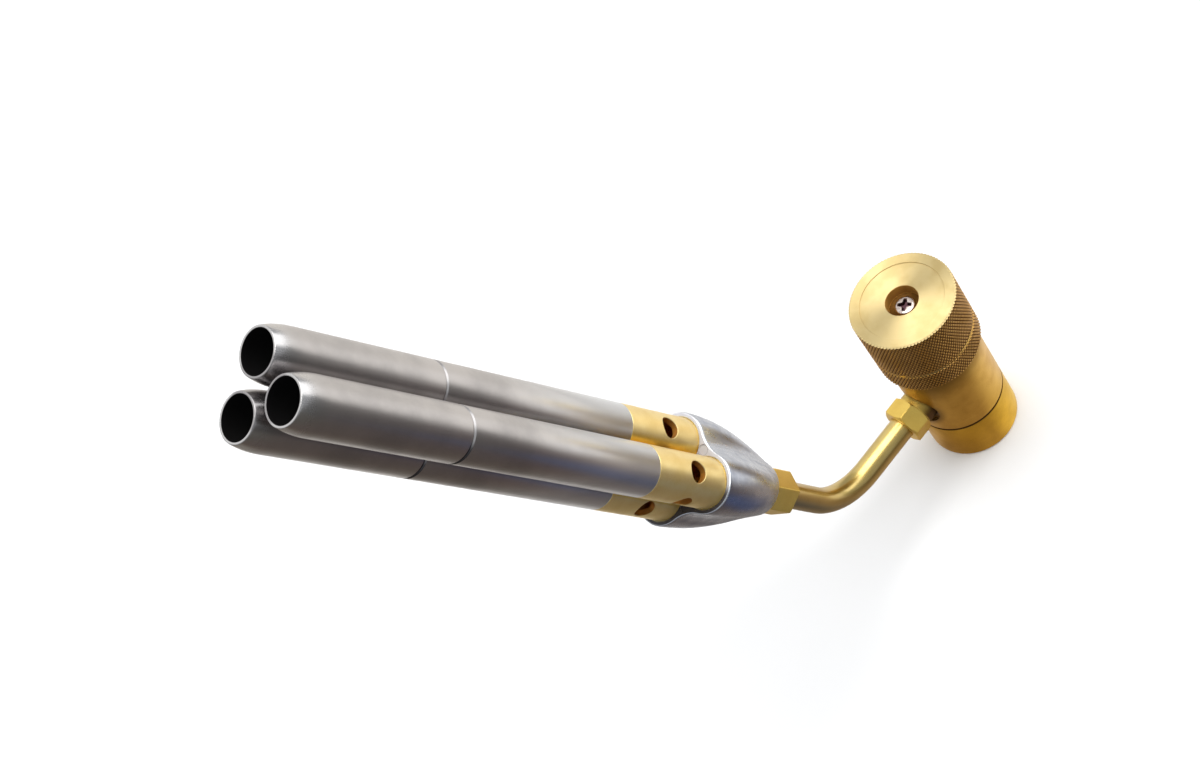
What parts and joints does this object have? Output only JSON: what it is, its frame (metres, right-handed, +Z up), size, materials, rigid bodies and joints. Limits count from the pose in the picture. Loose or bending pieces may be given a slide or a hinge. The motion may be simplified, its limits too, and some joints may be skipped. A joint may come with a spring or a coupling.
{
  "type": "hand torch head",
  "caption": "Gas hand torch head: a needle valve with a knurled knob on a bottle socket, a bent tube, and a cast manifold that feeds parallel burner tubes with brass air collars.",
  "frame": {"origin": "centre of the inlet socket's mouth, at the first turn of its thread, where the gas bottle screws in", "axes": "+Z up along the valve's axis to the knob, +X the way the gas leaves the valve, and the bent tube and the burners' axis lie in the XZ plane"},
  "size_m": [0.165, 0.033, 0.2401],
  "materials": {
    "valve_brass": "satin turned",
    "knob_brass": "turned face, diamond knurl",
    "fitting_brass": "turned and milled",
    "tube_brass": "polished",
    "collar_brass": "fine turned",
    "burner_steel": "drawn, satin",
    "spindle_steel": "turned",
    "screw_plate": "bright plate",
    "cast_alloy": "as cast, matt",
    "seal_rubber": "matt",
    "sintered_bronze": "sintered, grainy",
    "soft_copper": "annealed"
  },
  "bodies": {
    "torch": {"inlet_socket": "valve_brass", "inlet_gasket": "seal_rubber", "depressor_pin": "fitting_brass", "inlet_filter": "sintered_bronze", "socket_seal": "seal_rubber", "valve_body": "valve_brass", "bonnet": "fitting_brass", "bonnet_washer": "soft_copper", "outlet_fitting": "fitting_brass", "gas_tube": "tube_brass", "manifold_fitting": "fitting_brass", "manifold": "cast_alloy", "air_collar_1": "collar_brass", "air_collar_2": "collar_brass", "air_collar_3": "collar_brass", "gas_jet_1": "fitting_brass", "gas_jet_2": "fitting_brass", "gas_jet_3": "fitting_brass", "burner_tube_1": "burner_steel", "burner_tube_2": "burner_steel", "burner_tube_3": "burner_steel", "flame_swirler_1": "fitting_brass", "flame_swirler_2": "fitting_brass", "flame_swirler_3": "fitting_brass"},
    "spindle_ring": {"spindle_seal": "seal_rubber"},
    "control": {"spindle": "spindle_steel", "knob": "knob_brass", "knob_screw": "screw_plate"}
  },
  "joints": [
    {"name": "spindle_lift", "type": "slide", "parent": "torch", "child": "spindle_ring", "axis": [0, 0, 1], "range_m": [0, 0.0015]},
    {"name": "knob_turn", "type": "hinge", "parent": "spindle_ring", "child": "control", "pos_m": [0, 0, 0.0573], "axis": [0, 0, 1], "range_deg": [0, 540]}
  ],
  "couplings": [
    {"joint": "knob_turn", "follows": "spindle_lift", "rad_per_m": 6283.2}
  ]
}
